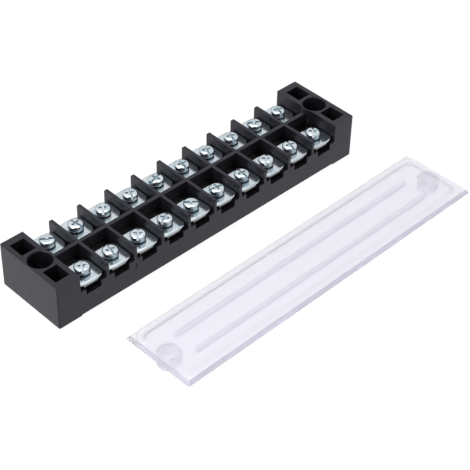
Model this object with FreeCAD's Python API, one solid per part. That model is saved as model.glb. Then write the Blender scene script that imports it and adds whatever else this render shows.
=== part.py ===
import FreeCAD, Part
import math
import os

from FreeCAD import Vector

# Two-row barrier terminal strip with its clear cover lying beside it, in millimetres.
# The strip runs along X, its front row of screws is on the -Y side, and the origin is
# under the strip's middle, on the surface that its end blocks stand on.

# Poles and walls of the housing
pole_count = 10
pole_pitch = 12.1
barrier_thickness = 1.2
barrier_over_heads = 1.1
barrier_corner_radius = 0.6
centre_wall_thickness = 1.5
strip_width = 30.0
foot_height = 0.4

# Channel and screw pits under the bars, and the web between a pit and the cored underside
channel_depth = 2.3
channel_side_gap = 0.9
pit_end_gap = 0.7
pit_clearance = 0.6
pit_web = 1.4

# Cored pockets under the floor
core_depth = 2.6
core_wall = 1.8
core_front_wall = 2.2

# End blocks with their mounting tubes
end_block_over_barriers = 1.4
end_block_corner_radius = 0.5
mounting_hole_diameter = 4.6
counterbore_diameter = 8.4
counterbore_floor = 5.0
counterbore_chamfer = 0.35
tube_wall = 0.8
tube_bulge = 0.6
tube_end_margin = 0.1
pocket_outer_wall = 1.9
pocket_inner_wall = 1.8
pocket_side_wall = 2.9
pocket_tube_gap = 0.4
pocket_floor = 2.6

# Oval gate mark on the front face, under the second barrier
gate_barrier = 2
gate_below_ledge = 2.7
gate_mark_width = 1.2
gate_mark_length = 2.4
gate_mark_depth = 0.2

# Contact bars
bar_thickness = 1.1
bar_seat = 1.0
bar_end_recess = 0.9
bar_corner_chamfer = 0.8
bar_slot_gap = 0.15
collar_wall = 0.8
collar_depth = 1.4

# Screws, with the turn of each slot from the X axis in degrees
screw_edge_distance = 5.9
screw_diameter = 3.0
screw_length = 8.0
thread_clearance = 0.05
head_diameter = 5.6
head_height = 2.0
head_side_height = 1.35
head_flat_diameter = 2.8
slot_width = 0.8
slot_depth = 0.9
cross_length = 3.2
cross_floor_length = 1.0
cross_floor_width = 0.5
cross_depth = 1.3
front_slot_turns = (58, 78, 47, 28, 140, 170, 85, 42, 75, 47)
rear_slot_turns = (147, 100, 52, 68, 15, 80, 67, 68, 150, 72)

# Spring washers and clamp plates
washer_outer_diameter = 5.5
washer_thickness = 0.7
washer_bore_gap = 0.1
washer_split = 0.5
washer_split_lean = 20.0
clamp_side_gap = 0.3
clamp_outer_inset = 1.0
clamp_inner_reach = 4.9
clamp_thickness = 0.8
clamp_shoulder = 1.9
clamp_tongue_step = 0.25
clamp_bow = 0.25
clamp_outer_chamfer = 0.9
clamp_inner_chamfer = 1.7
clamp_bore_gap = 0.25

# Flats that stand for a full round on the small parts of every pole
small_round_flats = 8
head_flats = 12
crown_steps = 2

# Clear cover
cover_end_overlap = 0.1
cover_side_inset = 0.3
cover_thickness = 1.6
cover_edge_land = 0.3
cover_bevel = 1.0
cover_corner_radius = 0.5
cover_top_corner_radius = 0.3
cover_border = 3.2
cover_recess_depth = 0.7
cover_recess_radius = 2.8
cover_rib_thickness = 1.2
cover_rib_offset = 4.8
cover_rib_gap = 0.1
cover_rib_end_gap = 3.2
peg_length = 3.6
peg_wall = 1.1
peg_clearance = 0.1
peg_tip_chamfer = 0.3
cover_shift = 11.0
cover_gap = 19.5
cover_turn = 0.96

# Levels, from the cored floor up through bar, plate and washer to the tops of the walls
pit_floor = foot_height + core_depth + pit_web
screw_tip = pit_floor + pit_clearance
head_seat = screw_tip + screw_length
clamp_top = head_seat - washer_thickness
bar_top = clamp_top - clamp_thickness
ledge_height = bar_top - bar_thickness
channel_floor = ledge_height - channel_depth
barrier_height = head_seat + head_height + barrier_over_heads
end_block_height = barrier_height + end_block_over_barriers

# Widths and lengths that follow
cell_width = pole_pitch - barrier_thickness
collar_diameter = screw_diameter + 2 * collar_wall
channel_width = collar_diameter + 2 * channel_side_gap
pit_length = collar_diameter + 2 * pit_end_gap
bar_width = channel_width + 2 * bar_seat
clamp_width = cell_width - 2 * clamp_side_gap
half_width = strip_width / 2
screw_row_offset = half_width - screw_edge_distance
clamp_outer_reach = screw_edge_distance - clamp_outer_inset
bar_half_length = half_width - bar_end_recess
middle_half = (pole_count * pole_pitch - barrier_thickness) / 2
tube_radius = counterbore_diameter / 2 + tube_wall
mounting_place = middle_half + tube_radius - tube_bulge
strip_half = mounting_place + tube_radius + tube_end_margin
peg_radius = counterbore_diameter / 2 - peg_clearance
cover_length = 2 * (strip_half + cover_end_overlap)
cover_width = strip_width - 2 * cover_side_inset
pole_places = [(index - (pole_count - 1) / 2) * pole_pitch for index in range(pole_count)]

UP = Vector(0, 0, 1)


def block(x_range, y_range, z_range):
    """Box between two values on each axis."""
    size = [high - low for low, high in (x_range, y_range, z_range)]
    return Part.makeBox(size[0], size[1], size[2], Vector(x_range[0], y_range[0], z_range[0]))


def rod(radius, bottom, top, x=0.0, y=0.0):
    """Upright cylinder between two heights."""
    return Part.makeCylinder(radius, top - bottom, Vector(x, y, bottom))


def outline(points):
    """Closed wire through the points."""
    return Part.makePolygon(list(points) + [points[0]])


def extrude(wire, direction):
    """Solid swept by a flat closed wire."""
    return Part.Face(wire).extrude(direction)


def ring(radius, height, flats, x=0.0, y=0.0):
    """Corners of a regular polygon that lie on a circle."""
    turns = [2 * math.pi * (index + 0.5) / flats for index in range(flats)]
    return [Vector(x + radius * math.cos(turn), y + radius * math.sin(turn), height) for turn in turns]


def small_rod(radius, bottom, top, x=0.0, y=0.0):
    """Upright rod drawn with flats, no wider than the round one."""
    return extrude(outline(ring(radius, bottom, small_round_flats, x, y)), Vector(0, 0, top - bottom))


def small_hole(radius, bottom, top, x=0.0, y=0.0):
    """Upright hole drawn with flats, no narrower than the round one."""
    return small_rod(radius / math.cos(math.pi / small_round_flats), bottom, top, x, y)


def flat_faced(layers):
    """Solid with flat sides through layers of matching corners, from the bottom layer up."""
    faces = [Part.Face(outline(layers[0])), Part.Face(outline(layers[-1]))]
    for low, high in zip(layers, layers[1:]):
        for index, corner in enumerate(low):
            after = (index + 1) % len(low)
            faces.append(Part.Face(outline([corner, low[after], high[after], high[index]])))
    return Part.makeSolid(Part.makeShell(faces))


def turned(profile):
    """Solid of revolution about Z from (radius, height) points."""
    wire = outline([Vector(radius, 0, height) for radius, height in profile])
    return Part.Face(wire).revolve(Vector(0, 0, 0), UP, 360)


def rounded_rectangle(length, width, radius, height):
    """Wire of a rectangle about the Z axis with round corners."""
    corners = [(1, 1, 0), (-1, 1, 90), (-1, -1, 180), (1, -1, 270)]
    edges = []
    ends = []
    for side_x, side_y, start in corners:
        centre = Vector(side_x * (length / 2 - radius), side_y * (width / 2 - radius), height)
        circle = Part.Circle(centre, UP, radius)
        arc = Part.ArcOfCircle(circle, math.radians(start), math.radians(start + 90))
        ends.append((arc.StartPoint, arc.EndPoint))
        edges.append(arc.toShape())
    for index, (first, last) in enumerate(ends):
        following = ends[(index + 1) % len(ends)][0]
        edges.append(Part.LineSegment(last, following).toShape())
    return Part.Wire(Part.__sortEdges__(edges))


def fuse(shapes):
    """One solid from shapes that touch or overlap."""
    return shapes[0].multiFuse(shapes[1:]).removeSplitter()


def barrier(x):
    """Wall between two poles, with round upper corners at both faces."""
    radius = barrier_corner_radius
    low = ledge_height
    bend = radius * (1 - math.sqrt(0.5))
    side = x - barrier_thickness / 2
    points = {}
    for sign in (-1, 1):
        points[sign] = [
            Vector(side, sign * half_width, low),
            Vector(side, sign * half_width, barrier_height - radius),
            Vector(side, sign * (half_width - bend), barrier_height - bend),
            Vector(side, sign * (half_width - radius), barrier_height),
        ]
    front, rear = points[-1], points[1]
    edges = [
        Part.LineSegment(rear[0], front[0]).toShape(),
        Part.LineSegment(front[0], front[1]).toShape(),
        Part.Arc(front[1], front[2], front[3]).toShape(),
        Part.LineSegment(front[3], rear[3]).toShape(),
        Part.Arc(rear[3], rear[2], rear[1]).toShape(),
        Part.LineSegment(rear[1], rear[0]).toShape(),
    ]
    return extrude(Part.Wire(edges), Vector(barrier_thickness, 0, 0))


def end_block(side):
    """Block with the mounting tube, on the side given by the sign."""
    outer_x = side * strip_half
    x_range = sorted((side * middle_half, outer_x))
    body = block(x_range, (-half_width, half_width), (0, end_block_height))
    upright = [
        edge for edge in body.Edges
        if all(abs(vertex.X - outer_x) < 1e-6 for vertex in edge.Vertexes)
        and abs(edge.Vertexes[0].Z - edge.Vertexes[1].Z) > end_block_height / 2
    ]
    body = body.makeFillet(end_block_corner_radius, upright)
    tube = rod(tube_radius, 0, end_block_height, side * mounting_place)
    return fuse([body, tube])


def end_block_cuts(side):
    """Counterbored hole and the two open pockets of one end block."""
    x = side * mounting_place
    mouth = counterbore_diameter / 2 + counterbore_chamfer
    chamfer = Part.makeCone(
        counterbore_diameter / 2, mouth, counterbore_chamfer,
        Vector(x, 0, end_block_height - counterbore_chamfer))
    cuts = [
        rod(mounting_hole_diameter / 2, -1, end_block_height, x),
        rod(counterbore_diameter / 2, counterbore_floor, end_block_height + 1, x),
        chamfer,
    ]
    x_range = sorted((side * (middle_half + pocket_inner_wall), side * (strip_half - pocket_outer_wall)))
    low = tube_radius + pocket_tube_gap
    high = half_width - pocket_side_wall
    for y_range in ((low, high), (-high, -low)):
        cuts.append(block(x_range, y_range, (pocket_floor, end_block_height + 1)))
    return cuts


def cell_cuts(x):
    """Bar slot, channel, screw pits and cored pockets of one pole."""
    slot_half = bar_width / 2 + bar_slot_gap
    channel = (x - channel_width / 2, x + channel_width / 2)
    cuts = [
        block((x - slot_half, x + slot_half), (-centre_wall_thickness, centre_wall_thickness),
              (ledge_height, bar_top + bar_slot_gap)),
        block(channel, (-strip_width, strip_width), (channel_floor, ledge_height)),
    ]
    core = (x - pole_pitch / 2 + core_wall, x + pole_pitch / 2 - core_wall)
    for sign in (-1, 1):
        row = sign * screw_row_offset
        cuts.append(block(channel, (row - pit_length / 2, row + pit_length / 2), (pit_floor, ledge_height)))
        y_range = sorted((sign * core_wall, sign * (half_width - core_front_wall)))
        cuts.append(block(core, y_range, (-1, foot_height + core_depth)))
    return cuts


def gate_mark():
    """Shallow oval hollow that the moulding gate leaves on the front face."""
    x = -middle_half - barrier_thickness / 2 + gate_barrier * pole_pitch
    radius = gate_mark_width / 2
    height = ledge_height - gate_below_ledge
    reach = (gate_mark_length - gate_mark_width) / 2
    face_y = -half_width + gate_mark_depth
    ends = [
        Part.makeCylinder(radius, strip_width, Vector(x, face_y, height + sign * reach), Vector(0, -1, 0))
        for sign in (-1, 1)
    ]
    middle = block((x - radius, x + radius), (face_y - strip_width, face_y),
                   (height - reach, height + reach))
    return fuse(ends + [middle])


def make_housing():
    """Moulded body: floor, barriers, centre wall and end blocks in one piece."""
    middle = (-middle_half, middle_half)
    centre = (-centre_wall_thickness / 2, centre_wall_thickness / 2)
    pieces = [
        block(middle, (-half_width, half_width), (foot_height, ledge_height)),
        block(middle, centre, (ledge_height, barrier_height)),
        end_block(-1),
        end_block(1),
    ]
    for x in pole_places[1:]:
        pieces.append(barrier(x - pole_pitch / 2))
    body = fuse(pieces)
    cuts = end_block_cuts(-1) + end_block_cuts(1) + [gate_mark()]
    for x in pole_places:
        cuts += cell_cuts(x)
    return body.cut(cuts).removeSplitter()


def make_contact_bar(x):
    """Flat bar through the centre wall, with a tapped collar drawn down at each end."""
    width, reach, corner = bar_width / 2, bar_half_length, bar_corner_chamfer
    corners = []
    for sign_x, sign_y in ((1, 1), (-1, 1), (-1, -1), (1, -1)):
        on_side = Vector(x + sign_x * width, sign_y * (reach - corner), ledge_height)
        on_end = Vector(x + sign_x * (width - corner), sign_y * reach, ledge_height)
        corners += [on_side, on_end] if sign_x == sign_y else [on_end, on_side]
    pieces = [extrude(outline(corners), Vector(0, 0, bar_thickness))]
    holes = []
    for row in (-screw_row_offset, screw_row_offset):
        pieces.append(small_rod(collar_diameter / 2, ledge_height - collar_depth, bar_top, x, row))
        holes.append(small_hole(screw_diameter / 2 + thread_clearance, 0, bar_top + 1, x, row))
    return fuse(pieces).cut(holes)


def make_clamp_plate():
    """Plate about the Z axis, its bowed outer edge towards -Y."""
    half, inner, outer = clamp_width / 2, clamp_inner_reach, -clamp_outer_reach
    right_side = [
        (half - clamp_shoulder, outer - clamp_tongue_step),
        (half - clamp_outer_chamfer, outer),
        (half, outer + clamp_outer_chamfer),
        (half, inner - clamp_inner_chamfer),
        (half - clamp_inner_chamfer, inner),
    ]
    left_side = [(-x, y) for x, y in reversed(right_side)]
    corners = [Vector(x, y, bar_top) for x, y in right_side + left_side]
    edges = [Part.LineSegment(first, last) for first, last in zip(corners, corners[1:])]
    edges.append(Part.Arc(corners[-1], Vector(0, corners[0].y - clamp_bow, bar_top), corners[0]))
    plate = extrude(Part.Wire([edge.toShape() for edge in edges]), Vector(0, 0, clamp_thickness))
    return plate.cut(small_hole(screw_diameter / 2 + clamp_bore_gap, bar_top - 1, clamp_top + 1))


def cross_arm(turn):
    """Tapered arm of the cross recess, narrower at its floor."""
    top = head_seat + head_height
    layers = []
    for height, length, width in (
            (top - cross_depth, cross_floor_length, cross_floor_width),
            (top + cross_depth, 2 * cross_length - cross_floor_length, 2 * slot_width - cross_floor_width)):
        x, y = length / 2, width / 2
        layers.append([Vector(side_x, side_y, height) for side_x, side_y in ((-x, -y), (x, -y), (x, y), (-x, y))])
    arm = flat_faced(layers)
    arm.rotate(Vector(0, 0, 0), UP, turn)
    return arm


def crown_ring(step):
    """Ring of the crown, which rounds over from the head's side to its flat top."""
    turn = math.pi / 2 * step / crown_steps
    flat = head_flat_diameter / 2
    radius = flat + (head_diameter / 2 - flat) * math.cos(turn)
    height = head_seat + head_side_height + (head_height - head_side_height) * math.sin(turn)
    return ring(radius, height, head_flats)


def make_screw():
    """Pan head screw about the Z axis with a slot and a cross recess."""
    top = head_seat + head_height
    shank = small_rod(screw_diameter / 2, screw_tip, head_seat)
    underside = ring(head_diameter / 2, head_seat, head_flats)
    head = flat_faced([underside] + [crown_ring(step) for step in range(crown_steps + 1)])
    slot_sides = (-slot_width / 2, slot_width / 2)
    slot = block((-head_diameter, head_diameter), slot_sides, (top - slot_depth, top + 1))
    return fuse([shank, head]).cut([slot, cross_arm(0), cross_arm(90)])


def make_washer():
    """Flattened spring washer with a leaning split."""
    around = outline(ring(washer_outer_diameter / 2, clamp_top, head_flats))
    body = extrude(around, Vector(0, 0, washer_thickness))
    bore = small_hole(screw_diameter / 2 + washer_bore_gap, clamp_top - 1, head_seat + 1)
    gap = block((0, washer_outer_diameter), (-washer_split / 2, washer_split / 2),
                (clamp_top - washer_thickness, head_seat + washer_thickness))
    gap.rotate(Vector(0, 0, (clamp_top + head_seat) / 2), Vector(1, 0, 0), washer_split_lean)
    return body.cut([bore, gap])


def placed(shape, x, y, turn=0.0):
    """Copy of a shape made about the Z axis, turned and moved to its place."""
    copy = shape.copy()
    copy.rotate(Vector(0, 0, 0), UP, turn)
    copy.translate(Vector(x, y, 0))
    return copy


def make_cover():
    """Clear cover about its own middle, standing on its pegs."""
    length, width = cover_length, cover_width
    low = peg_length
    land = low + cover_edge_land
    high = low + cover_thickness
    layers = [
        rounded_rectangle(length, width, cover_corner_radius, land),
        rounded_rectangle(length - 2 * cover_bevel, width - 2 * cover_bevel, cover_top_corner_radius, high),
    ]
    rim = rounded_rectangle(length, width, cover_corner_radius, low)
    plate = fuse([extrude(rim, Vector(0, 0, cover_edge_land)), Part.makeLoft(layers, True, True)])
    mouth_length, mouth_width = length - 2 * cover_border, width - 2 * cover_border
    depth = cover_recess_depth
    mouth = rounded_rectangle(mouth_length, mouth_width, cover_recess_radius, low)
    floor_length, floor_width = mouth_length - 2 * depth, mouth_width - 2 * depth
    floor = rounded_rectangle(floor_length, floor_width, cover_recess_radius - depth, low + depth)
    recess = Part.makeLoft([mouth, floor], True, True)
    pieces = [plate.cut(recess)]
    rib_depth = end_block_over_barriers - cover_rib_gap
    rib_half = middle_half - cover_rib_end_gap
    for sign in (-1, 1):
        middle = sign * cover_rib_offset
        pieces.append(block((-rib_half, rib_half),
                            (middle - cover_rib_thickness / 2, middle + cover_rib_thickness / 2),
                            (low - rib_depth, low + depth)))
    bores = []
    for sign in (-1, 1):
        x = sign * mounting_place
        peg = turned([
            (0, 0), (peg_radius - peg_tip_chamfer, 0), (peg_radius, peg_tip_chamfer),
            (peg_radius, low + depth), (0, low + depth)])
        peg.translate(Vector(x, 0, 0))
        pieces.append(peg)
        bores.append(rod(peg_radius - peg_wall, -1, low + depth, x))
    cover = fuse(pieces).cut(bores)
    return placed(cover, cover_shift, -half_width - cover_gap - width / 2, cover_turn)


def save(name, shape):
    """Write one piece and report what it holds."""
    shape.exportStep("parts/" + name + ".step")
    print(name, "solids", len(shape.Solids), "volume", round(shape.Volume, 1), "valid", shape.isValid())


os.makedirs("parts", exist_ok=True)
save("housing", make_housing())
save("cover", make_cover())
clamp_plate = make_clamp_plate()
screw = make_screw()
washer = make_washer()
rows = (("front", -screw_row_offset, 0, front_slot_turns), ("rear", screw_row_offset, 180, rear_slot_turns))
for number, place in enumerate(pole_places, 1):
    save("contact_bar_%d" % number, make_contact_bar(place))
    for row_name, row_y, facing, slot_turns in rows:
        slot_turn = slot_turns[(number - 1) % len(slot_turns)]
        save("%s_clamp_%d" % (row_name, number), placed(clamp_plate, place, row_y, facing))
        pair = Part.makeCompound([screw, washer])
        save("%s_screw_%d" % (row_name, number), placed(pair, place, row_y, slot_turn))
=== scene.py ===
"""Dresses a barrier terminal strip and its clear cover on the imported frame, and sets the stage."""

import math

import bmesh
import bpy
import numpy as np
from mathutils import Matrix, Vector


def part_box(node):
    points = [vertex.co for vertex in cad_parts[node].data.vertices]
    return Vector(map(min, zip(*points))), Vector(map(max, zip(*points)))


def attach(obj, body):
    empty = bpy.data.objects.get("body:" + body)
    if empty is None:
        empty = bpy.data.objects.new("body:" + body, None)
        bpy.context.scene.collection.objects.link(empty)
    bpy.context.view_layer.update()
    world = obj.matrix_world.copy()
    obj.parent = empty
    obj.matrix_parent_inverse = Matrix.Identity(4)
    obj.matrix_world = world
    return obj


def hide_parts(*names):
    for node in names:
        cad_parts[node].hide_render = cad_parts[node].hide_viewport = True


bl_info = {
    "name": "Barrier terminal strip",
    "version": (1, 0, 0),
    "blender": (4, 5, 0),
    "location": "3D View > Sidebar > Terminal strip",
    "description": "Builds the looks of a two-row barrier terminal strip with its clear cover",
    "category": "Object",
}

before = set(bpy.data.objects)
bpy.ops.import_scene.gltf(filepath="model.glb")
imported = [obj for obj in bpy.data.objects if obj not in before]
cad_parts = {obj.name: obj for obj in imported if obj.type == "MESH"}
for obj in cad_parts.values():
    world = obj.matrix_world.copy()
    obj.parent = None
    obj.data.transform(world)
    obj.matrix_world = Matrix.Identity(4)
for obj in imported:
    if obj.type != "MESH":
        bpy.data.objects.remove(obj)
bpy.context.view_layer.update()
POLE_COUNT = sum(name.startswith("contact_bar_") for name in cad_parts)
POLES = range(1, POLE_COUNT + 1)
ROWS = ("front", "rear")
FLOOR_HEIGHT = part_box("housing")[0][2]
CLAMP_LOW, CLAMP_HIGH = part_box("front_clamp_1")
SCREW_LOW, SCREW_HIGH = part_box("front_screw_1")
COVER_LOW, COVER_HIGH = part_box("cover")
FULL_TURN = 2 * math.pi
QUARTER_TURN = math.pi / 2
SHARP_ANGLE = math.radians(35)
FLAT_ANGLE = math.radians(0.5)
ALMOST_NOTHING = 1e-6

# Points along the curves of the pieces made here
EDGE_SEGMENTS = 2
EDGE_POINTS = 6
CORNER_POINTS = 9
THREAD_STEPS = 4
WASHER_STEPS = 49
WASHER_SIDES = 16

BLACK = (0.0, 0.0, 0.0, 1.0)
WHITE = (1.0, 1.0, 1.0, 1.0)
KEY_LAMP_PLACE = (-0.75, -0.05, 0.42)
TOP_LAMP_PLACE = (0.1, 0.2, 0.9)

# Direction of each screw's slot in plan, in degrees from the length of the strip
SLOT_ANGLES = {
    "front": (58, 78, 47, 28, 140, 170, 85, 42, 75, 47),
    "rear": (147, 100, 52, 68, 15, 80, 67, 68, 150, 72),
}


# Properties

def length_property(name, description, default):
    """Property of a length in metres."""
    return bpy.props.FloatProperty(
        name=name, description=description, default=default, min=0.0, precision=5,
        subtype="DISTANCE", unit="LENGTH")


def colour_property(name, description, default):
    """Property of a linear colour."""
    return bpy.props.FloatVectorProperty(
        name=name, description=description, default=default, size=3, min=0.0, max=1.0, subtype="COLOR")


def angle_property(name, description, degrees):
    """Property of an angle, whose default is given in degrees."""
    return bpy.props.FloatProperty(
        name=name, description=description, default=math.radians(degrees), subtype="ANGLE", unit="ROTATION")


def factor_property(name, description, default):
    """Property between 0 and 1."""
    return bpy.props.FloatProperty(
        name=name, description=description, default=default, min=0.0, max=1.0, subtype="FACTOR")


def power_property(name, description, default):
    """Property of a lamp's power in watts."""
    return bpy.props.FloatProperty(
        name=name, description=description, default=default, min=0.0, unit="POWER")


class HousingLook(bpy.types.PropertyGroup):
    """Moulded body."""

    edge_radius: length_property("Edge radius", "Rounding of the moulded edges", 0.00014)
    colour: colour_property("Colour", "Colour of the moulded plastic", (0.0085, 0.008, 0.01))
    roughness: factor_property("Roughness", "Mean roughness of the moulded surface", 0.36)
    shine: factor_property("Shine", "Strength of the surface reflection", 0.4)
    shine_tint: colour_property(
        "Shine tint", "Colour that the surface reflection takes on", (0.78, 0.75, 0.99))


class TerminalLook(bpy.types.PropertyGroup):
    """Clamp plates, screws, washers and contact bars."""

    plate_edge: length_property("Plate edge", "Rounding of a clamp plate's sheared edges", 0.00012)
    plate_roll: length_property("Plate roll", "Radius that a plate's outer edge is rolled down by", 0.00045)
    plate_tongue: length_property("Tongue width", "Width of the bowed tongue at a plate's outer edge", 0.0065)
    plate_step: length_property(
        "Tongue step", "How far the tongue stands out of the plate's corners", 0.00025)
    plate_bow: length_property("Tongue bow", "How far the tongue bows out beyond its step", 0.00025)
    plate_outer: length_property("Outer corner", "Radius of a plate's corners beside the tongue", 0.0011)
    plate_inner: length_property("Inner corner", "Radius of a plate's inner corners", 0.003)
    plate_bore: length_property("Plate bore", "Radius of the hole in a clamp plate", 0.00175)
    head_radius: length_property("Head radius", "Radius of a screw's head", 0.0028)
    shank_radius: length_property("Shank radius", "Outer radius of a screw's thread", 0.0015)
    thread_pitch: length_property("Thread pitch", "Distance between a screw's threads", 0.0005)
    thread_depth: length_property("Thread depth", "Depth of a screw's thread", 0.00028)
    plain_pitches: bpy.props.IntProperty(
        name="Plain pitches", description="Pitches of plain shank between a screw's head and its thread",
        default=3, min=1)
    head_side: length_property("Head side", "Height of the straight side of a screw's head", 0.00155)
    head_flat: length_property("Head flat", "Radius of the flat in the middle of a screw's head", 0.0017)
    head_edge: length_property("Head edge", "Rounding under a screw's head", 0.00025)
    slot_width: length_property("Slot width", "Width of a screw's slot and of the arms of its cross", 0.0008)
    slot_depth: length_property("Slot depth", "Depth of a screw's slot", 0.00115)
    cross_length: length_property("Cross length", "Length across a screw's cross recess", 0.0032)
    cross_depth: length_property("Cross depth", "Depth of a screw's cross recess", 0.0013)
    washer_radius: length_property("Washer radius", "Outer radius of a spring washer", 0.0024)
    washer_bore: length_property("Washer bore", "Inner radius of a spring washer", 0.0016)
    washer_room: length_property("Washer room", "Height between a clamp plate and its screw's head", 0.0005)
    washer_thickness: length_property("Washer thickness", "Thickness of a spring washer", 0.0004)
    washer_split: length_property("Washer split", "Gap between a spring washer's ends", 0.0005)
    washer_lean: angle_property("Split lean", "Lean of a spring washer's split", 20)
    bar_edge: length_property("Bar edge", "Rounding of a contact bar's edges", 0.00012)
    zinc: colour_property("Zinc", "Colour of the bright zinc plating", (0.66, 0.71, 0.745))
    zinc_tint: colour_property(
        "Zinc tint", "Colour that the plating shifts to in patches", (0.48, 0.575, 0.63))
    # Painted shade: the recess colours are darker than the zinc to paint the shade in the screws' slots and
    # crosses; their blue-grey is the plating's passivation
    recess_zinc_painted_shade: colour_property(
        "Recess zinc", "Colour of the plating in the screws' recesses", (0.4, 0.45, 0.47))
    recess_painted_shade: colour_property("Recess tint", "Colour that it shifts to in patches", (0.26, 0.32, 0.34))
    # Painted shade: the washers are coloured dark to paint the dark line under each screw head
    washer_painted_shade: colour_property("Washer steel", "Colour of the spring washers", (0.14, 0.16, 0.18))
    washer_painted_shade_tint: colour_property("Washer tint", "Colour that they shift to in patches", (0.07, 0.09, 0.1))
    zinc_roughness: factor_property("Zinc roughness", "Mean roughness of the zinc plating", 0.15)
    # Painted shade: the bars' colour is far darker than tin, for the shade deep in the cells
    painted_shade_tin: colour_property("Tin", "Colour of the contact bars' plating", (0.14, 0.135, 0.13))
    tin_roughness: factor_property("Tin roughness", "Mean roughness of the contact bars", 0.16)


class CoverLook(bpy.types.PropertyGroup):
    """Clear cover."""

    edge_radius: length_property("Edge radius", "Rounding of the cover's edges", 0.00008)
    tint: colour_property("Tint", "Tint of the clear plastic", (0.81, 0.8, 0.86))
    # Painted shade: the border colour below is a greyer painted shade on the far side and the far end, not
    # the plastic's own tint
    border_painted_shade: colour_property(
        "Border tint", "Tint of the border along the far side and the end", (0.81, 0.807, 0.835))
    # Painted light: the bevel colour is a lighter, bluer painted light on the slope along the near side
    bevel_painted_light: colour_property("Bevel tint", "Tint of the slope along the near side", (0.88, 0.87, 0.98))
    border: length_property("Border", "Width of the border round the recess", 0.0032)
    bevel: length_property("Bevel", "Width in plan of the slope round the top", 0.001)
    recess_corner: length_property("Recess corner", "Radius of the recess's corners", 0.0028)
    # Painted shade lines: a soft painted shadow along the recess's edge and a thin painted shade line along
    # the top's far edge
    line_width: length_property("Line width", "Reach of the soft line along the recess's edge", 0.0015)
    line_shade: factor_property("Line shade", "Darkness of the middle of that line", 0.14)
    line_inset: length_property("Line inset", "Distance of that line inside the recess's edge", 0.0005)
    rim_width: length_property("Rim width", "Reach of the thin line along the top's far edge", 0.0006)
    rim_shade: factor_property("Rim shade", "Darkness of the middle of that line", 0.13)
    near_share: factor_property("Near share", "Part of those lines that the near side shows", 0.15)
    end_share: factor_property("End share", "Part of those lines that the far end shows", 0.8)
    end_start: length_property("End start", "Distance from the far end at which its part starts", 0.009)
    end_full: length_property("End full", "Distance from the far end at which its part is full", 0.005)
    # Softness of the painted light and shade where they change at the slopes
    painted_light_and_shade_blur: length_property("Tint blur", "Softness of the change of tint at the slopes", 0.0001)
    turn: angle_property("Turn", "Turn of the cover in plan", 0.96)
    roughness: factor_property("Roughness", "Roughness of the polished surface", 0.16)
    clearness: factor_property("Clearness", "Part of the light that passes through and isn't scattered", 0.64)
    refraction: bpy.props.FloatProperty(
        name="Refraction", description="Index of refraction of the clear plastic", default=1.49,
        min=1.0, max=2.0)


class StageLook(bpy.types.PropertyGroup):
    """Floor, lamps and camera."""

    heading: angle_property("Heading", "Plan direction that the camera looks in", 45.184)
    elevation: angle_property("Elevation", "Angle that the camera looks down at", 40.755)
    roll: angle_property("Roll", "Turn of the camera about its own axis", 1.543)
    target: bpy.props.FloatVectorProperty(
        name="Target", description="Point of the floor that the camera looks at",
        default=(0.00526, -0.01957, 0.0), size=3, subtype="TRANSLATION", unit="LENGTH")
    distance: length_property("Distance", "Distance from the camera to its target", 0.5212)
    focal_length: bpy.props.FloatProperty(
        name="Focal length", description="Focal length in millimetres on the camera's sensor",
        default=113.84, min=1.0)
    sensor_width: bpy.props.FloatProperty(
        name="Sensor width", description="Width of the camera's sensor in millimetres", default=36.0, min=1.0)
    floor_size: length_property("Floor size", "Side of the square floor", 6.0)
    floor_glow: factor_property("Floor glow", "Part of the floor's whiteness that shadows can't dim", 0.93)
    floor_colour: colour_property("Floor colour", "Colour of the floor under the lamps", (0.1, 0.1, 0.1))
    ambient: factor_property("Ambient", "Strength of the light from all round", 0.8)
    horizon: factor_property("Horizon", "Brightness that gloss shows near the horizon", 0.12)
    horizon_height: factor_property(
        "Horizon height", "Sine of the angle up to which the horizon is dim", 0.36)
    dark_side: factor_property("Dark side", "Brightness that gloss shows round the camera", 0.2)
    dark_elevation: angle_property("Dark elevation", "Angle above the floor of the dark side's middle", 42)
    dark_reach: angle_property(
        "Dark reach", "Angle from the dark side's middle to where it is white again", 34)
    key_power: power_property("Key lamp", "Power of the large lamp on the left", 4.0)
    top_power: power_property("Top lamp", "Power of the lamp overhead", 2.0)
    key_size: length_property("Key lamp size", "Side of the square lamp on the left", 0.6)
    top_size: length_property("Top lamp size", "Side of the square lamp overhead", 0.7)


# Mesh helpers

def grid_faces(rows, columns, wrap_rows=False, wrap_columns=False):
    """Quads of a grid of points stored row by row. A wrapped direction joins its last line to its first."""
    row = np.arange(rows if wrap_rows else rows - 1)
    column = np.arange(columns if wrap_columns else columns - 1)
    row, column = np.meshgrid(row, column, indexing="ij")
    row, column = row.ravel(), column.ravel()
    next_row, next_column = (row + 1) % rows, (column + 1) % columns
    return np.stack([
        row * columns + column, row * columns + next_column,
        next_row * columns + next_column, next_row * columns + column], axis=1)


def mesh_from(name, points, faces):
    """Mesh of points, an array of (x, y, z), and faces, a list of index arrays."""
    mesh = bpy.data.meshes.new(name)
    mesh.from_pydata(points.tolist(), [], [face.tolist() for group in faces for face in group])
    mesh.validate()
    return mesh


def merged_copy(node):
    """Closed mesh with flat faces joined, from a copy of a node's loose triangles."""
    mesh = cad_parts[node].data.copy()
    shape = bmesh.new()
    shape.from_mesh(mesh)
    bmesh.ops.remove_doubles(shape, verts=shape.verts, dist=ALMOST_NOTHING)
    bmesh.ops.dissolve_limit(
        shape, angle_limit=FLAT_ANGLE, verts=shape.verts, edges=shape.edges, use_dissolve_boundaries=False)
    shape.to_mesh(mesh)
    shape.free()
    return mesh


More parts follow.
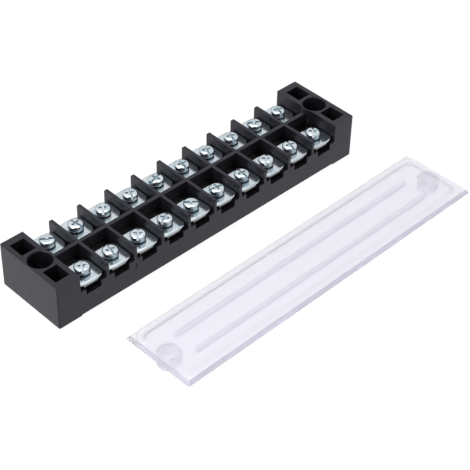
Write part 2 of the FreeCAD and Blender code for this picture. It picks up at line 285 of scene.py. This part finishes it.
def finish_piece(name, mesh, materials, body, nodes):
    """Object with materials and smooth shading up to an angle, riding on its body in place of its nodes."""
    mesh.materials.clear()
    for material in materials:
        mesh.materials.append(material)
    mesh.polygons.foreach_set("use_smooth", np.ones(len(mesh.polygons), dtype=bool))
    mesh.set_sharp_from_angle(angle=SHARP_ANGLE)
    piece = bpy.data.objects.new(name, mesh)
    bpy.context.scene.collection.objects.link(piece)
    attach(piece, body)
    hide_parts(*nodes)
    return piece


def round_edges(piece, radius):
    """Bevel of a piece's sharp edges with shading that keeps the flat faces flat."""
    bevel = piece.modifiers.new("round edges", "BEVEL")
    bevel.width = radius
    bevel.segments = EDGE_SEGMENTS
    bevel.limit_method = "ANGLE"
    bevel.angle_limit = SHARP_ANGLE
    flat = piece.modifiers.new("flat faces", "WEIGHTED_NORMAL")
    flat.mode = "FACE_AREA"
    flat.weight = 100


# Materials

class Shader:
    """Node material with a Principled surface and short calls to add nodes to it."""

    def __init__(self, name):
        self.material = bpy.data.materials.new(name)
        self.material.use_nodes = True
        self.tree = self.material.node_tree
        self.surface = self.tree.nodes["Principled BSDF"]
        self.output = self.tree.nodes["Material Output"]
        self.place = self.add("ShaderNodeTexCoord").outputs["Object"]

    def add(self, kind, settings=None, **inputs):
        """Node of a kind, with settings and with each named input set to a value or linked to a socket."""
        made = self.tree.nodes.new(kind)
        for key, value in (settings or {}).items():
            setattr(made, key, value)
        for key, value in inputs.items():
            self.set(made, key.replace("_", " "), value)
        return made

    def set(self, made, key, value):
        """Input of a node set to a value or linked to a socket."""
        if isinstance(value, bpy.types.NodeSocket):
            self.tree.links.new(value, made.inputs[key])
        else:
            made.inputs[key].default_value = value

    def stretched(self, scale):
        """Object coordinates multiplied by (x, y, z)."""
        return self.add("ShaderNodeMapping", Vector=self.place, Scale=scale).outputs["Vector"]

    def noise(self, scale, detail=2.0, rough=0.5, stretch=None):
        """Value of a noise with so many cells to the metre, times (x, y, z) where it is stretched."""
        place = self.stretched(stretch) if stretch else self.place
        made = self.add("ShaderNodeTexNoise", Vector=place, Scale=scale, Detail=detail, Roughness=rough)
        return made.outputs["Fac"]

    def roughness(self, value, middle, below, above, marks=None):
        """Roughness of the surface: a middle value, less or more with a noise, and rougher by the marks."""
        rough = self.spread(value, middle - below, middle + above)
        if marks is not None:
            rough = self.math("ADD", rough, marks)
        self.set(self.surface, "Roughness", rough)

    def spread(self, value, low, high, start=0.3, end=0.7):
        """Value stretched from start and end to low and high, and held there."""
        made = self.add("ShaderNodeMapRange", Value=value)
        for key, number in (("From Min", start), ("From Max", end), ("To Min", low), ("To Max", high)):
            made.inputs[key].default_value = number
        return made.outputs["Result"]

    def blend(self, factor, first, second):
        """Colour between two colours."""
        made = self.add("ShaderNodeMix", {"data_type": "RGBA"})
        self.set(made, 0, factor)
        self.set(made, 6, first)
        self.set(made, 7, second)
        return made.outputs[2]

    def smooth(self, value, low, high, start, end):
        """Value carried smoothly from start and end to low and high, and held there."""
        made = self.spread(value, low, high, start, end).node
        made.interpolation_type = "SMOOTHSTEP"
        return made.outputs["Result"]

    def vector(self, operation, first, second=None, output="Vector"):
        """Result of a vector math node."""
        made = self.add("ShaderNodeVectorMath", {"operation": operation})
        self.set(made, 0, first)
        if second is not None:
            self.set(made, 1, second)
        return made.outputs[output]

    def math(self, operation, first, second):
        """Result of a math node."""
        made = self.add("ShaderNodeMath", {"operation": operation})
        self.set(made, 0, first)
        self.set(made, 1, second)
        return made.outputs[0]

    def bump(self, height, distance):
        """Relief of a height between 0 and 1 that stands so many metres high."""
        made = self.add("ShaderNodeBump", Height=height, Distance=distance, Strength=1.0)
        self.set(self.surface, "Normal", made.outputs["Normal"])


def opaque(colour, factor=1.0):
    """Colour times a factor, with alpha 1."""
    return (colour[0] * factor, colour[1] * factor, colour[2] * factor, 1.0)


def moulded_plastic(look):
    """Black moulded plastic: faint flow marks in its colour and gloss, and a fine spark-eroded grain."""
    shader = Shader("moulded black plastic")
    flow = shader.noise(140.0, detail=4.0, rough=0.6, stretch=(0.35, 1.0, 1.0))
    haze = shader.noise(900.0, detail=3.0)
    darker, lighter = opaque(look.colour, 0.85), opaque(look.colour, 1.2)
    colour = shader.blend(shader.spread(flow, 0.0, 1.0), darker, lighter)
    shader.set(shader.surface, "Base Color", colour)
    scuffs = shader.noise(2600.0, stretch=(0.08, 1.0, 1.0))
    scuffed = shader.spread(scuffs, 0.0, 0.12, start=0.62, end=0.74)
    shader.roughness(haze, look.roughness, below=0.05, above=0.06, marks=scuffed)
    shader.surface.inputs["Specular IOR Level"].default_value = look.shine
    shader.surface.inputs["Specular Tint"].default_value = opaque(look.shine_tint)
    shader.bump(shader.noise(9000.0), distance=4e-6)
    return shader.material


def zinc_plate(look, name, grain, colour, tint):
    """Bright zinc plating: patches of blue passivation, grain along one way and light handling marks."""
    shader = Shader(name)
    patches = shader.noise(420.0, detail=3.0, rough=0.6)
    shader.set(shader.surface, "Base Color", shader.blend(
        shader.spread(patches, 0.0, 1.0, start=0.35, end=0.68), opaque(colour), opaque(tint)))
    shader.surface.inputs["Metallic"].default_value = 1.0
    lines = shader.noise(5200.0, detail=3.0, rough=0.6, stretch=grain)
    marks = shader.noise(1500.0, detail=4.0, rough=0.65)
    marked = shader.spread(marks, 0.0, 0.14, start=0.58, end=0.72)
    shader.roughness(lines, look.zinc_roughness, below=0.05, above=0.06, marks=marked)
    shader.bump(lines, distance=5e-6)
    return shader.material


def tin_plate(look):
    """Dull tin plating on the contact bars, its colour darkened as painted shade in the deep cells, clouded
    and drawn along the bar.
    """
    shader = Shader("tin plated bar")
    clouds = shader.noise(600.0, detail=3.0)
    clouded = opaque(look.painted_shade_tin, 0.85)
    shader.set(shader.surface, "Base Color", shader.blend(
        shader.spread(clouds, 0.0, 1.0), clouded, opaque(look.painted_shade_tin)))
    shader.surface.inputs["Metallic"].default_value = 1.0
    lines = shader.noise(4200.0, detail=3.0, rough=0.6, stretch=(1.0, 0.06, 1.0))
    shader.roughness(lines, look.tin_roughness, below=0.06, above=0.08)
    shader.bump(lines, distance=6e-6)
    return shader.material


def recess_painted_shade(look, shader):
    """Tint of the cover with painted light and shade: a soft painted shadow line along its recess, a thin
    painted shade line along the top's far edge and a greyer painted shade on the border, for the far side and
    the far end, and a lighter, bluer painted light on the slope along the near side.

    A place's distance outside the recess is that to a rounded rectangle: the length of the part of
    (|x| - a, |y| - b) that is above zero, less the corner's radius, where a and b are the rectangle's half
    length and half width less that radius. The line fades smoothly with the distance to either side.
    """
    middle = (Vector(COVER_LOW) + Vector(COVER_HIGH)) / 2
    reach_x, reach_y = (COVER_HIGH[0] - COVER_LOW[0]) / 2, (COVER_HIGH[1] - COVER_LOW[1]) / 2
    cos, sin = math.cos(look.turn), math.sin(look.turn)
    half_length = (reach_x * cos - reach_y * sin) / (cos * cos - sin * sin)
    half_width = (reach_y * cos - reach_x * sin) / (cos * cos - sin * sin)
    place = shader.add(
        "ShaderNodeMapping", {"vector_type": "TEXTURE"}, Vector=shader.place,
        Location=(middle[0], middle[1], 0.0), Rotation=(0.0, 0.0, look.turn)).outputs["Vector"]
    inset = look.border + look.recess_corner
    folded = shader.vector("ABSOLUTE", shader.vector("MULTIPLY", place, (1.0, 1.0, 0.0)))
    outside = shader.vector("SUBTRACT", folded, (half_length - inset, half_width - inset, 0.0))
    outside = shader.vector("LENGTH", shader.vector("MAXIMUM", outside, (0.0, 0.0, 0.0)), output="Value")
    distance = shader.math("SUBTRACT", outside, look.recess_corner)
    along, across = shader.add("ShaderNodeSeparateXYZ", Vector=place).outputs[:2]
    # The painted shade shows on the far side and the far end, and not on the near slope
    far_side = shader.spread(across, look.near_share, 1.0, start=half_width * 0.5, end=half_width * 0.75)
    far_end = shader.spread(
        along, look.near_share, look.end_share,
        start=half_length - look.end_start, end=half_length - look.end_full)
    slope_top = look.bevel - half_width
    near_slope = shader.smooth(
        across, 0.0, 1.0, start=slope_top - look.painted_light_and_shade_blur, end=slope_top + look.painted_light_and_shade_blur * 4)
    side = shader.math("MULTIPLY", shader.math("MAXIMUM", far_side, far_end), near_slope)
    rim = look.border - look.bevel
    # Painted shade: a soft shadow line along the recess's edge and a thin shade line along the top's far edge
    lines = []
    for line, shade, width in ((-look.line_inset, look.line_shade, look.line_width),
                               (rim, look.rim_shade, look.rim_width)):
        aside = shader.math("ABSOLUTE", shader.math("SUBTRACT", distance, line), 0.0)
        lines.append(shader.smooth(aside, shade, 0.0, start=0.0, end=width))
    # Painted shade on the far border and painted light on the near slope
    on_border = shader.smooth(distance, 0.0, 1.0, start=0.0, end=look.line_width)
    on_bevel = shader.smooth(
        distance, 0.0, 1.0, start=rim - look.painted_light_and_shade_blur, end=rim + look.painted_light_and_shade_blur * 2)
    # Painted light: the slope along the near side is lighter and bluer
    near_painted_light_colour = shader.blend(on_bevel, opaque(look.tint), opaque(look.bevel_painted_light))
    far_painted_shade_colour = shader.blend(on_border, opaque(look.tint), opaque(look.border_painted_shade))
    tint = shader.blend(side, near_painted_light_colour, far_painted_shade_colour)
    shade = shader.math("MULTIPLY", side, shader.math("MAXIMUM", *lines))
    return shader.blend(shade, tint, BLACK)


def clear_plastic(look):
    """Clear plastic with a faint wave in its surface and painted light and shade in its colour. Rays from
    lamps pass straight through it.
    """
    shader = Shader("clear plastic")
    surface = shader.surface
    # The base colour carries the painted light and shade of the recess lines, the border and the near slope
    shader.set(surface, "Base Color", recess_painted_shade(look, shader))
    surface.inputs["Transmission Weight"].default_value = look.clearness
    surface.inputs["IOR"].default_value = look.refraction
    haze = shader.noise(220.0)
    shader.set(surface, "Roughness", shader.spread(haze, look.roughness * 0.85, look.roughness * 1.2))
    shader.bump(shader.noise(160.0, detail=1.0), distance=5e-6)
    path = shader.add("ShaderNodeLightPath")
    through = shader.add("ShaderNodeBsdfTransparent", Color=opaque(look.tint))
    mixed = shader.add("ShaderNodeMixShader")
    shader.set(mixed, 0, path.outputs["Is Shadow Ray"])
    shader.set(mixed, 1, surface.outputs["BSDF"])
    shader.set(mixed, 2, through.outputs["BSDF"])
    shader.set(shader.output, "Surface", mixed.outputs["Shader"])
    return shader.material


def seen_rays(tree):
    """Socket that is 1 for rays that show the surroundings.

    They are the rays from the camera, off gloss or through clear plastic.
    """
    path = tree.nodes.new("ShaderNodeLightPath")
    seen = path.outputs["Is Camera Ray"]
    for name in ("Is Glossy Ray", "Is Transmission Ray"):
        either = tree.nodes.new("ShaderNodeMath")
        either.operation = "MAXIMUM"
        tree.links.new(seen, either.inputs[0])
        tree.links.new(path.outputs[name], either.inputs[1])
        seen = either.outputs[0]
    return seen


def white_floor(look):
    """Pale floor that glows for the rays that show it, under the light and shadow that fall on it."""
    shader = Shader("white floor")
    tree = shader.tree
    tree.nodes.remove(shader.surface)
    matte = shader.add("ShaderNodeBsdfDiffuse", Color=opaque(look.floor_colour))
    strength = shader.math("MULTIPLY", seen_rays(tree), look.floor_glow)
    glow = shader.add("ShaderNodeEmission", Strength=strength)
    both = shader.add("ShaderNodeAddShader")
    shader.set(both, 0, matte.outputs["BSDF"])
    shader.set(both, 1, glow.outputs["Emission"])
    shader.set(shader.output, "Surface", both.outputs["Shader"])
    return shader.material


# Shapes

def smooth_step(place):
    """Smooth rise from 0 to 1 between the places 0 and 1: 3 p squared less 2 p cubed."""
    place = np.clip(place, 0, 1)
    return place * place * (3 - 2 * place)


def plate_outline(look, low, high, centre):
    """Loop of (x, y) round a clamp plate about its screw, its bowed edge towards -Y.

    Straight sides between quarter circles at the corners, and along the outer edge a tongue whose bow is a
    parabola: its depth is the bow times one minus the square of the place across the tongue.
    """
    half = (high[0] - low[0]) / 2
    inner = high[1] - centre
    outer = low[1] - centre + look.plate_step + look.plate_bow
    side_end = inner - look.plate_inner
    quarter = np.linspace(0, QUARTER_TURN, CORNER_POINTS)
    place = np.linspace(0, 1, CORNER_POINTS)
    x = np.concatenate([
        place * look.plate_tongue / 2,
        half - look.plate_outer + look.plate_outer * np.sin(quarter),
        [half, half],
        half - look.plate_inner + look.plate_inner * np.cos(quarter),
        [half * 0.2]])
    y = np.concatenate([
        outer - look.plate_step - look.plate_bow * (1 - place ** 2),
        outer + look.plate_outer * (1 - np.cos(quarter)),
        side_end + (outer + look.plate_outer - side_end) * np.array([0.67, 0.33]),
        side_end + look.plate_inner * np.sin(quarter),
        [inner]])
    right = np.stack([x, y], axis=1)
    return np.concatenate([right, right[:0:-1] * (-1, 1)])


def plate_mesh(look, name, low, high, bore_y, centre, facing):
    """Clamp plate as rings of points: out along its underside, up its rounded edge and back in to its bore.

    Each ring is the outline drawn in by a little for the rounded edge, or the bore's circle with its
    points at the same bearings as the outline's, so the flat faces are strips of quads between the two.
    The upper edge's radius grows smoothly to the roll's over the outer corner.
    """
    outline = plate_outline(look, low, high, bore_y)
    size = np.abs(outline).max(axis=0)
    bearing = np.arctan2(outline[:, 1], outline[:, 0])
    circle = np.stack([np.cos(bearing), np.sin(bearing)], axis=1)
    edge, land = look.plate_edge, look.plate_edge * 0.4
    roll_start = outline[:, 1].min() + look.plate_outer + look.plate_step * 2
    upper = edge + (look.plate_roll - edge) * smooth_step((roll_start - outline[:, 1]) / look.plate_outer)
    bend = np.linspace(0, QUARTER_TURN, EDGE_POINTS)[:, None]
    drawn_in = np.concatenate([
        np.full((1, upper.size), edge + land), edge * (1 - np.sin(bend)) + 0 * upper,
        upper * (1 - np.cos(bend)), upper[None] + land])
    heights = np.concatenate([
        np.full((1, upper.size), low[2]), low[2] + edge * (1 - np.cos(bend)) + 0 * upper,
        high[2] - upper * (1 - np.sin(bend)), np.full((1, upper.size), high[2])])
    outer = outline[None] * (1 - drawn_in[:, :, None] / size)
    bore_radii = np.array([edge + land, edge, 0, 0, edge, edge + land]) + look.plate_bore
    bore_heights = np.array([high[2], high[2], high[2] - edge, low[2] + edge, low[2], low[2]])
    inner = circle[None] * bore_radii[:, None, None]
    flat = np.concatenate([outer, inner])
    level = np.concatenate([heights, bore_heights[:, None] + 0 * upper])
    points = np.concatenate([flat, level[:, :, None]], axis=2)
    rings, count = points.shape[:2]
    points = points.reshape(-1, 3)
    points[:, :2] = points[:, :2] * facing + np.array(centre)
    return mesh_from(name, points, [grid_faces(rings, count, True, True)])


def screw_mesh(look, name, low, high, seat, centre, slot_angle):
    """Pan head screw: a grid drawn out to a disc for the head's top, then rings down the side and the thread.

    The faces of the recess take the second material, a darker zinc that is painted shade.

    The crown is a quarter ellipse between the flat's radius and the rim. The recess is the deeper of a
    slot right across and a cross whose floor rises straight from the middle to the ends of its arms. The
    thread's radius falls and rises evenly once for each pitch, and starts later by the turn round the
    shank.
    """
    radius = look.head_radius
    half_slot, half_cross = look.slot_width / 2, look.cross_length / 2
    wall, square = half_slot * 0.06, half_cross * 1.1
    lines = np.concatenate([
        [0.0, half_slot - wall, half_slot + wall],
        [half_cross * 0.5, half_cross * 0.75, half_cross - wall, half_cross + wall],
        radius * np.array([0.7, 0.8, 0.88, 0.94, 0.98, 1.0])])
    lines = np.concatenate([-lines[:0:-1], lines])
    u, v = np.meshgrid(lines, lines, indexing="ij")
    ring, reach = np.maximum(abs(u), abs(v)), np.maximum(np.hypot(u, v), 1e-12)
    rounding = smooth_step((ring - square) / (radius - square))
    drawn = 1 - rounding + rounding * ring / reach
    x, y = u * drawn, v * drawn
    distance = np.minimum(np.hypot(x, y), radius)
    top, side = high[2], seat + look.head_side
    outward = np.clip((distance - look.head_flat) / (radius - look.head_flat), 0, 1)
    dome = side + (top - side) * np.sqrt(1 - outward ** 2)
    in_slot = abs(v) < half_slot
    in_cross = (in_slot & (abs(u) < half_cross)) | ((abs(u) < half_slot) & (abs(v) < half_cross))
    arm_floor = top - look.cross_depth * (1 - 0.75 * np.minimum(ring / half_cross, 1))
    z = np.where(in_slot, np.minimum(dome, top - look.slot_depth), dome)
    z = np.where(in_cross, np.minimum(z, arm_floor), z)
    count = lines.size
    head = np.stack([x, y, z], axis=2).reshape(-1, 3)
    index = np.arange(count * count).reshape(count, count)
    rim = np.concatenate([index[:-1, 0], index[-1, :-1], index[:0:-1, -1], index[0, :0:-1]])
    bearing = np.arctan2(head[rim, 1], head[rim, 0])
    edge, shank, depth = look.head_edge, look.shank_radius, look.thread_depth
    thread_top = seat - look.thread_pitch * look.plain_pitches
    tip = low[2]
    steps = int(round((thread_top - tip) / look.thread_pitch)) * THREAD_STEPS
    thread_z = np.linspace(thread_top, tip, steps + 1)
    bend = np.linspace(0, QUARTER_TURN, EDGE_POINTS)
    plain_end = thread_top + look.thread_pitch / 2
    under_z = np.concatenate([seat + edge * (1 - np.sin(bend)), [seat, seat - edge, plain_end]])
    under_r = np.concatenate([radius - edge * (1 - np.cos(bend)), [shank + edge, shank, shank]])
    ring_z = np.concatenate([under_z, thread_z])
    ring_r = np.concatenate([under_r, np.full(thread_z.size, shank)])
    turn = (ring_z[:, None] - tip) / look.thread_pitch - bearing[None] / FULL_TURN
    groove = depth * (1 - abs(2 * (turn % 1) - 1))
    groove[:under_z.size] = 0
    taper = (depth + edge) * np.clip(1 - (ring_z - tip) / look.thread_pitch, 0, 1)
    r = np.maximum(ring_r[:, None] - groove - taper[:, None], shank - depth - 2 * edge)
    rings = np.stack([r * np.cos(bearing), r * np.sin(bearing), ring_z[:, None] + 0 * r], axis=2)
    start = head.shape[0]
    skirt = grid_faces(ring_z.size + 1, rim.size, False, True)
    number = np.concatenate([rim, start + np.arange(rings.shape[0] * rim.size)])
    points = np.concatenate([head, rings.reshape(-1, 3), [[0.0, 0.0, tip]]])
    last = start + (rings.shape[0] - 1) * rim.size + np.arange(rim.size)
    end = np.stack([last, np.roll(last, -1), np.full(rim.size, points.shape[0] - 1)], axis=1)
    points = turned_to(points, slot_angle, centre)
    top_faces = grid_faces(count, count)
    mesh = mesh_from(name, points, [top_faces[:, ::-1], number[skirt], end])
    sunk = (dome - z).ravel() > ALMOST_NOTHING
    in_recess = np.zeros(len(mesh.polygons), dtype=np.int32)
    in_recess[:len(top_faces)] = sunk[top_faces].any(axis=1)
    mesh.polygons.foreach_set("material_index", in_recess)
    return mesh


def turned_to(points, angle, centre):
    """Points turned about Z by an angle and moved to a centre in plan."""
    cos, sin = math.cos(angle), math.sin(angle)
    x, y = points[:, 0], points[:, 1]
    return np.stack([x * cos - y * sin + centre[0], x * sin + y * cos + centre[1], points[:, 2]], axis=1)


def washer_mesh(look, name, bottom, centre, slot_angle):
    """Spring washer: a rectangle with rounded corners carried round the screw between its split's sides.

    It climbs evenly from the plate to the head, by the room left between them. The bearing of each end
    leans with height, so the split is slanted as it is where the wire was cut.
    """
    height = look.washer_thickness
    width = look.washer_radius - look.washer_bore
    middle = (look.washer_radius + look.washer_bore) / 2
    corner = height * 0.2
    around = (np.arange(WASHER_SIDES) + 0.5) * FULL_TURN / WASHER_SIDES
    across = np.sign(np.cos(around)) * (width / 2 - corner) + corner * np.cos(around)
    up = np.sign(np.sin(around)) * (height / 2 - corner) + corner * np.sin(around)
    gap = look.washer_split / 2 / middle
    place = np.linspace(gap, FULL_TURN - gap, WASHER_STEPS)
    lean = math.tan(look.washer_lean) * up / middle
    bearing = place[:, None] + lean[None]
    distance = middle + across[None]
    climb = (look.washer_room - height) * np.linspace(0, 1, place.size)[:, None]
    level = bottom + height / 2 + up[None] + climb
    points = np.stack([distance * np.cos(bearing), distance * np.sin(bearing), level], axis=2)
    count = around.size
    sides = grid_faces(place.size, count, False, True)
    first = np.arange(count)[None]
    last = first[:, ::-1] + (place.size - 1) * count
    points = turned_to(points.reshape(-1, 3), slot_angle, centre)
    return mesh_from(name, points, [sides[:, ::-1], first, last])


def screw_centre(row, number):
    """Middle of a screw in plan, from the node's box."""
    low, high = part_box("%s_screw_%d" % (row, number))
    return (low[0] + high[0]) / 2, (low[1] + high[1]) / 2


# Operators

class MakeHousing(bpy.types.Operator):
    """Make the moulded body with rounded edges"""

    bl_idname = "terminal_strip.housing"
    bl_label = "Housing"

    def execute(self, context):
        look = context.scene.strip_housing
        piece = finish_piece(
            "housing_moulding", merged_copy("housing"), [moulded_plastic(look)], "strip", ["housing"])
        round_edges(piece, look.edge_radius)
        return {"FINISHED"}


class MakeBars(bpy.types.Operator):
    """Make the contact bars"""

    bl_idname = "terminal_strip.bars"
    bl_label = "Contact bars"

    def execute(self, context):
        look = context.scene.strip_terminals
        material = tin_plate(look)
        for number in POLES:
            node = "contact_bar_%d" % number
            piece = finish_piece(
                "plated_bar_%d" % number, merged_copy(node), [material], "strip", [node])
            round_edges(piece, look.bar_edge)
        return {"FINISHED"}


class MakePlates(bpy.types.Operator):
    """Make the clamp plates"""

    bl_idname = "terminal_strip.plates"
    bl_label = "Clamp plates"

    def execute(self, context):
        look = context.scene.strip_terminals
        material = zinc_plate(look, "zinc plated plate", (0.07, 1.0, 1.0), look.zinc, look.zinc_tint)
        bore_y = screw_centre("front", 1)[1]
        for row in ROWS:
            facing = 1 if row == "front" else -1
            for number in POLES:
                node = "%s_clamp_%d" % (row, number)
                mesh = plate_mesh(
                    look, node, CLAMP_LOW, CLAMP_HIGH, bore_y, screw_centre(row, number), facing)
                finish_piece("%s_plate_%d" % (row, number), mesh, [material], node, [node])
        return {"FINISHED"}


class MakeScrews(bpy.types.Operator):
    """Make the terminal screws"""

    bl_idname = "terminal_strip.screws"
    bl_label = "Screws"

    def execute(self, context):
        look = context.scene.strip_terminals
        materials = [
            zinc_plate(look, "zinc plated screw", (1.0, 1.0, 1.0), look.zinc, look.zinc_tint),
            # Darker zinc in the recess: painted shade
            zinc_plate(look, "zinc with painted shade in the recess", (1.0, 1.0, 1.0), look.recess_zinc_painted_shade, look.recess_painted_shade)]
        seat = CLAMP_HIGH[2] + look.washer_room
        for row in ROWS:
            for number in POLES:
                node = "%s_screw_%d" % (row, number)
                angle = math.radians(SLOT_ANGLES[row][number - 1])
                mesh = screw_mesh(
                    look, node, SCREW_LOW, SCREW_HIGH, seat, screw_centre(row, number), angle)
                finish_piece("%s_pan_head_%d" % (row, number), mesh, materials, node, [node])
        return {"FINISHED"}


class MakeWashers(bpy.types.Operator):
    """Make the spring washers under the screw heads, dark with painted shade"""

    bl_idname = "terminal_strip.washers"
    bl_label = "Spring washers"

    def execute(self, context):
        look = context.scene.strip_terminals
        # Painted shade: the washers' dark colour stands for the dark line under each head
        material = zinc_plate(
            look, "washer darkened by painted shade", (1.0, 1.0, 0.2), look.washer_painted_shade, look.washer_painted_shade_tint)
        for row in ROWS:
            for number in POLES:
                node = "%s_screw_%d" % (row, number)
                angle = math.radians(SLOT_ANGLES[row][number - 1])
                mesh = washer_mesh(look, node, CLAMP_HIGH[2], screw_centre(row, number), angle)
                finish_piece(
                    "%s_spring_washer_%d" % (row, number), mesh, [material], node, [node])
        return {"FINISHED"}


class MakeCover(bpy.types.Operator):
    """Make the clear cover"""

    bl_idname = "terminal_strip.cover"
    bl_label = "Cover"

    def execute(self, context):
        look = context.scene.strip_cover
        piece = finish_piece(
            "cover_moulding", merged_copy("cover"), [clear_plastic(look)], "cover", ["cover"])
        round_edges(piece, look.edge_radius)
        return {"FINISHED"}


class MakeStage(bpy.types.Operator):
    """Set the floor, the lamps, the surroundings and the camera"""

    bl_idname = "terminal_strip.stage"
    bl_label = "Stage"

    def execute(self, context):
        look = context.scene.strip_stage
        self.make_floor(look)
        self.make_surroundings(context, look)
        self.make_lamp("key lamp", KEY_LAMP_PLACE, look.key_power, look.key_size)
        self.make_lamp("top lamp", TOP_LAMP_PLACE, look.top_power, look.top_size)
        self.make_camera(context, look)
        context.scene.view_settings.view_transform = "Standard"
        return {"FINISHED"}

    def make_floor(self, look):
        """Square floor under the strip's feet."""
        half = look.floor_size / 2
        corners = np.array([(x, y, FLOOR_HEIGHT) for x, y in (
            (-half, -half), (half, -half), (half, half), (-half, half))])
        mesh = mesh_from("floor", corners, [np.array([[0, 1, 2, 3]])])
        mesh.materials.append(white_floor(look))
        floor = bpy.data.objects.new("floor", mesh)
        bpy.context.scene.collection.objects.link(floor)

    def make_surroundings(self, context, look):
        """White surroundings for the rays that show them, and dimmer light for the rest.

        Gloss shows two darker parts of the studio: its horizon, and the side that the camera stands on.
        """
        world = bpy.data.worlds.new("studio")
        world.use_nodes = True
        tree = world.node_tree
        nodes, links = tree.nodes, tree.links
        strength = nodes.new("ShaderNodeMapRange")
        links.new(seen_rays(tree), strength.inputs["Value"])
        strength.inputs["To Min"].default_value = look.ambient
        direction = nodes.new("ShaderNodeTexCoord").outputs["Generated"]
        upward = Vector((0, 0, 1))
        toward = Vector((
            -math.cos(look.heading), -math.sin(look.heading), math.tan(look.dark_elevation))).normalized()
        horizon_full, dark_full = look.horizon_height * 0.5, look.dark_reach * 0.7
        seen = strength.outputs["Result"]
        for axis, start, end, dark in (
                (upward, look.horizon_height, horizon_full, look.horizon),
                (toward, math.cos(look.dark_reach), math.cos(dark_full), look.dark_side)):
            along = nodes.new("ShaderNodeVectorMath")
            along.operation = "DOT_PRODUCT"
            along.inputs[1].default_value = axis
            links.new(direction, along.inputs[0])
            shade = nodes.new("ShaderNodeMapRange")
            shade.interpolation_type = "SMOOTHSTEP"
            links.new(along.outputs["Value"], shade.inputs["Value"])
            for key, number in (("From Min", start), ("From Max", end), ("To Min", 1.0), ("To Max", dark)):
                shade.inputs[key].default_value = number
            path = nodes.new("ShaderNodeLightPath")
            off_gloss = nodes.new("ShaderNodeMix")
            off_gloss.inputs[2].default_value = 1.0
            links.new(path.outputs["Is Glossy Ray"], off_gloss.inputs[0])
            links.new(shade.outputs["Result"], off_gloss.inputs[3])
            dimmed = nodes.new("ShaderNodeMath")
            dimmed.operation = "MULTIPLY"
            links.new(seen, dimmed.inputs[0])
            links.new(off_gloss.outputs[0], dimmed.inputs[1])
            seen = dimmed.outputs[0]
        background = nodes["Background"]
        background.inputs["Color"].default_value = WHITE
        links.new(seen, background.inputs["Strength"])
        context.scene.world = world

    def make_lamp(self, name, place, power, size):
        """Square lamp that faces the strip."""
        lamp = bpy.data.lights.new(name, "AREA")
        lamp.energy = power
        lamp.size = size
        holder = bpy.data.objects.new(name, lamp)
        holder.location = place
        holder.rotation_euler = (-Vector(place)).to_track_quat("-Z", "Y").to_euler()
        bpy.context.scene.collection.objects.link(holder)

    def make_camera(self, context, look):
        """Camera that looks at its target along the heading and elevation, turned by the roll."""
        forward = Vector((
            math.cos(look.heading) * math.cos(look.elevation),
            math.sin(look.heading) * math.cos(look.elevation),
            -math.sin(look.elevation)))
        level = Vector((math.sin(look.heading), -math.cos(look.heading), 0.0))
        upright = level.cross(forward)
        right = level * math.cos(look.roll) + upright * math.sin(look.roll)
        up = right.cross(forward)
        camera = bpy.data.cameras.new("camera")
        camera.sensor_width = look.sensor_width
        camera.lens = look.focal_length
        camera.clip_start, camera.clip_end = 0.01, 20.0
        holder = bpy.data.objects.new("camera", camera)
        turn = Matrix((right, up, -forward)).transposed().to_4x4()
        holder.matrix_world = Matrix.Translation(Vector(look.target) - forward * look.distance) @ turn
        bpy.context.scene.collection.objects.link(holder)
        context.scene.camera = holder


class TerminalStripPanel(bpy.types.Panel):
    """Sizes, finishes and steps of the terminal strip."""

    bl_idname = "VIEW3D_PT_terminal_strip"
    bl_label = "Terminal strip"
    bl_space_type = "VIEW_3D"
    bl_region_type = "UI"
    bl_category = "Terminal strip"

    def draw(self, context):
        for name, _ in LOOKS:
            box = self.layout.box()
            look = getattr(context.scene, name)
            for key in look.__annotations__:
                box.prop(look, key)
        for step in STEPS:
            self.layout.operator(step.bl_idname)


LOOKS = (
    ("strip_housing", HousingLook),
    ("strip_terminals", TerminalLook),
    ("strip_cover", CoverLook),
    ("strip_stage", StageLook),
)
STEPS = (MakeHousing, MakeBars, MakePlates, MakeScrews, MakeWashers, MakeCover, MakeStage)


def register():
    """Add the classes to Blender and the looks to its scenes."""
    for name, look in LOOKS:
        bpy.utils.register_class(look)
        setattr(bpy.types.Scene, name, bpy.props.PointerProperty(type=look))
    for step in STEPS:
        bpy.utils.register_class(step)
    bpy.utils.register_class(TerminalStripPanel)


def unregister():
    """Take the looks and classes away again."""
    bpy.utils.unregister_class(TerminalStripPanel)
    for step in reversed(STEPS):
        bpy.utils.unregister_class(step)
    for name, look in reversed(LOOKS):
        delattr(bpy.types.Scene, name)
        bpy.utils.unregister_class(look)


def main():
    """Build every piece and the stage."""
    register()
    bpy.ops.terminal_strip.housing()
    bpy.ops.terminal_strip.bars()
    bpy.ops.terminal_strip.plates()
    bpy.ops.terminal_strip.screws()
    bpy.ops.terminal_strip.washers()
    bpy.ops.terminal_strip.cover()
    bpy.ops.terminal_strip.stage()


if __name__ == "__main__":
    main()
